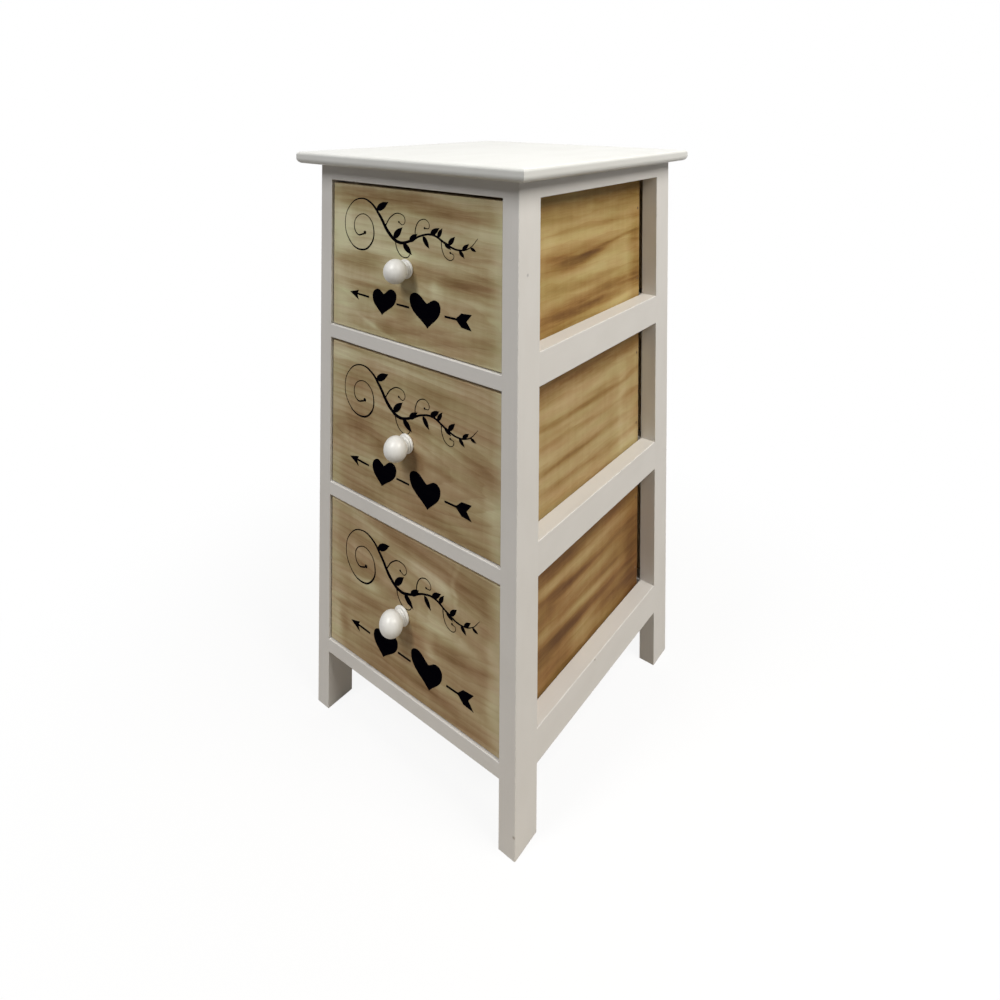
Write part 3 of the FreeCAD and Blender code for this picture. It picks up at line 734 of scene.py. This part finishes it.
# the black ornament: a rubbed down transfer, so the wood's fibres show through as relief
transfer = {
    "colour": (0.0012, 0.0010, 0.0030),
    "thin": (0.006, 0.005, 0.006),
    "sheen": 0.0,
    "fibre": {"stretch": (0.05, 1.8, 1.8), "detail": 3.0},
    "toneSpan": (0.5, 0.8),
    "roughness": (0.55, 0.7),
    "relief": 0.00005,
    "thick": 0.24,          # millimetres
    "lift": 0.10,           # how far its middle stands off the wood, in millimetres
    "shifts": {1: (-1.4, 0), 2: (0.2, -3.4), 3: (4.0, -4.6)},     # each was laid on by hand, in millimetres
    "outlineSteps": 10,
    "strokeSteps": 7,
    "roundSteps": 2,
    "weld": 0.000002,
}


def transferBlack():
    material, tree, shader = newMaterial("transferBlack")
    shader.inputs["Specular IOR Level"].default_value = transfer["sheen"]
    fibre = grainNoise(tree, millimetres(tree, "XZY"), **transfer["fibre"])
    colour = twoTone(tree, fibre, transfer["toneSpan"], transfer["colour"], transfer["thin"])
    wear(tree, shader, colour, spread(tree, fibre, *transfer["roughness"]), fibre, transfer["relief"])
    return material


# its shapes, in millimetres from the front's lower left corner. A heart's points are (along, up, handle type)
arrow = {
    "smallHeart": [(82.7, 45.5, "VECTOR"), (72.3, 49.6, "AUTO"), (65.5, 41, "AUTO"), (80, 23.3, "VECTOR"),
                   (101.3, 46.6, "AUTO"), (94.7, 52.2, "AUTO")],
    "largeHeart": [(144.3, 46.5, "VECTOR"), (127.3, 54.6, "AUTO"), (120.5, 47.5, "AUTO"),
                   (145.5, 22, "VECTOR"), (162.7, 44.8, "AUTO"), (157.3, 51.4, "AUTO")],
    "head": [(29.7, 39.8), (43.5, 43.5), (41, 38.8), (43.5, 33)],
    "shafts": [((40.5, 39.4), (59.7, 38.6)), ((101.6, 38.5), (119.9, 38.2)), ((168.2, 38.4), (184.5, 38.5))],
    "shaftWidth": 2.0,
    "flight": [(182, 38.5), (189.5, 45.2), (202.5, 46.2), (196, 38.5), (202.5, 30.8), (190, 31.8)],
}

# the vine: strokes of (along, up, half width), leaves of (along, up, angle, length, width), buds of (along,
# up, radius), and the outlines that one leaf of length and width 1 and one bud of radius 1 have
vine = {
    "strokes": [
        [(209.5, 119, 0.22), (199, 108.5, 0.5), (184, 105, 0.9), (168, 109.5, 1.2), (152, 115.5, 1.1),
         (136, 113, 1.0), (120, 105.5, 1.3), (104, 102.5, 1.7), (90, 110, 2.1), (76, 126.5, 1.8),
         (62, 139, 1.1), (46, 142.5, 0.7), (29, 134, 0.5), (20.5, 115, 0.45), (28, 95.5, 0.6),
         (46, 87.5, 0.95), (62, 95, 1.0), (66.5, 110.5, 0.75), (58, 124, 0.5), (43.5, 124.5, 0.45),
         (35.5, 113.5, 0.5), (41, 103.5, 0.7), (51, 105, 0.9)],
        [(99, 103, 0.7), (102.5, 94, 0.6), (111, 88, 0.5), (120, 91.5, 0.45), (119, 98, 0.4),
         (114, 97.6, 0.5)],
        [(128, 108.5, 0.6), (128, 119, 0.6), (135, 128.5, 0.5), (145, 128, 0.42), (146.5, 121.8, 0.4),
         (141.5, 120.6, 0.5)],
        [(163, 111.5, 0.55), (164.5, 102, 0.5), (170, 95, 0.45), (177.5, 94.5, 0.4), (179.5, 99, 0.35),
         (175.8, 100.6, 0.45)],
        [(84, 117, 0.7), (93, 128, 0.6), (105, 132, 0.5), (113, 127, 0.42), (110, 121, 0.4),
         (105, 122.6, 0.5)],
    ],
    "leaves": [
        (70, 132.5, 28, 21, 7.5), (96, 105.5, 44, 19, 7), (110, 102.5, -38, 17, 6.5), (119, 105, 38, 15, 6),
        (138, 113, -52, 15, 5.5), (148, 115.5, 32, 15, 5.5), (158, 113.5, 58, 12, 4.6),
        (167, 110, -34, 11, 4.2), (172, 108, 46, 13, 5), (186, 105, -44, 10, 4), (190, 105.5, 40, 11, 4),
        (200, 109, -20, 8, 3),
    ],
    "buds": [(52.6, 106.6, 1.9), (113.2, 98, 1.2), (140.6, 121, 1.1), (175, 101, 1.0), (104.2, 123.2, 1.1)],
    "leafShape": [(0, 0, "VECTOR"), (0.38, -0.5, "AUTO"), (1, 0, "VECTOR"), (0.38, 0.5, "AUTO")],
    "budShape": [(-1, 0, "AUTO"), (0, -1, "AUTO"), (1, 0, "AUTO"), (0, 1, "AUTO")],
}


def closedOutline(name, points):
    # a flat curve through points of (along, up, handle type), filled, thickened and made a mesh
    deselectAll()
    bpy.ops.curve.primitive_bezier_curve_add()
    shape = bpy.context.object
    shape.name = name
    shape.data.dimensions = "2D"
    shape.data.fill_mode = "BOTH"
    shape.data.resolution_u = transfer["outlineSteps"]
    shape.data.extrude = transfer["thick"] * mm / 2
    spline = shape.data.splines[0]
    spline.bezier_points.add(len(points) - len(spline.bezier_points))
    for knot, (along, up, handle) in zip(spline.bezier_points, points):
        knot.co = (along * mm, up * mm, 0)
        knot.handle_left_type = handle
        knot.handle_right_type = handle
    spline.use_cyclic_u = True
    bpy.ops.object.convert(target="MESH")
    return bpy.context.object


def straightOutline(name, corners):
    return closedOutline(name, [(along, up, "VECTOR") for along, up in corners])


def penStroke(name, points):
    # a pen line that swells and thins: a round curve pressed flat
    deselectAll()
    bpy.ops.curve.primitive_bezier_curve_add()
    line = bpy.context.object
    line.name = name
    line.data.dimensions = "3D"
    line.data.bevel_depth = mm
    line.data.bevel_resolution = transfer["roundSteps"]
    line.data.resolution_u = transfer["strokeSteps"]
    line.data.use_fill_caps = True
    spline = line.data.splines[0]
    spline.bezier_points.add(len(points) - len(spline.bezier_points))
    for knot, (along, up, halfWidth) in zip(spline.bezier_points, points):
        knot.co = (along * mm, up * mm, 0)
        knot.radius = halfWidth
        knot.handle_left_type = "AUTO"
        knot.handle_right_type = "AUTO"
    bpy.ops.object.convert(target="MESH")
    line = bpy.context.object
    line.scale = (1, 1, transfer["thick"] * mm / line.dimensions.z)
    bpy.ops.object.transform_apply(location=False, rotation=False, scale=True)
    return line


def joinPieces(name, pieces):
    deselectAll()
    for piece in pieces:
        piece.select_set(True)
    bpy.context.view_layer.objects.active = pieces[0]
    bpy.ops.object.join()
    joined = bpy.context.object
    joined.name = name
    bpy.ops.object.mode_set(mode="EDIT")
    bpy.ops.mesh.select_all(action="SELECT")
    bpy.ops.mesh.remove_doubles(threshold=transfer["weld"])
    bpy.ops.mesh.normals_make_consistent(inside=False)
    bpy.ops.object.mode_set(mode="OBJECT")
    return joined


def placedCopy(shape, along, up, angle, length, width):
    copied = shape.copy()
    copied.data = shape.data.copy()
    bpy.context.collection.objects.link(copied)
    place = Matrix.Translation((along * mm, up * mm, 0))
    turn = Matrix.Rotation(math.radians(angle), 4, "Z")
    copied.data.transform(place @ turn @ Matrix.Diagonal((length, width, 1, 1)))
    return copied


def arrowShape():
    pieces = [closedOutline("smallHeart", arrow["smallHeart"]),
              closedOutline("largeHeart", arrow["largeHeart"]),
              straightOutline("arrowHead", arrow["head"]),
              straightOutline("arrowFlight", arrow["flight"])]
    half = arrow["shaftWidth"] / 2
    for start, end in arrow["shafts"]:
        corners = [(start[0], start[1] - half), (end[0], end[1] - half),
                   (end[0], end[1] + half), (start[0], start[1] + half)]
        pieces.append(straightOutline("arrowShaft", corners))
    return joinPieces("arrow_1", pieces)


def vineShape():
    pieces = [penStroke("vineStroke", points) for points in vine["strokes"]]
    leaf = closedOutline("vineLeaf", vine["leafShape"])
    bud = closedOutline("vineBud", vine["budShape"])
    for along, up, angle, length, width in vine["leaves"]:
        pieces.append(placedCopy(leaf, along, up, angle, length, width))
    for along, up, radius in vine["buds"]:
        pieces.append(placedCopy(bud, along, up, 0, radius, radius))
    bpy.data.objects.remove(leaf)
    bpy.data.objects.remove(bud)
    return joinPieces("vine_1", pieces)


def layOrnaments():
    black = transferBlack()
    standing = Matrix.Rotation(math.radians(90), 4, "X")
    for shape in (arrowShape(), vineShape()):
        kind = shape.name.split("_")[0]
        shape.data.materials.clear()
        shape.data.materials.append(black)
        for number in drawerNumbers:
            piece = shape.copy()
            piece.data = shape.data.copy()
            piece.name = "%s_drawer_%d" % (kind, number)
            bpy.context.collection.objects.link(piece)
            low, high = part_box("drawer_%d_front" % number)
            along, up = transfer["shifts"][number]
            place = (low.x + along * mm, low.y - transfer["lift"] * mm, low.z + up * mm)
            piece.data.transform(Matrix.Translation(place) @ standing)
            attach(piece, "drawer_%d" % number)
        bpy.data.objects.remove(shape)
    print("ornaments laid on")


bpy.context.scene.view_settings.view_transform = "Standard"
makeCamera()
makeLamps()
makeRoom()
makeFloor()
print("camera, lamps, room and floor are set")
dressFrame()
dressDrawers()
layOrnaments()
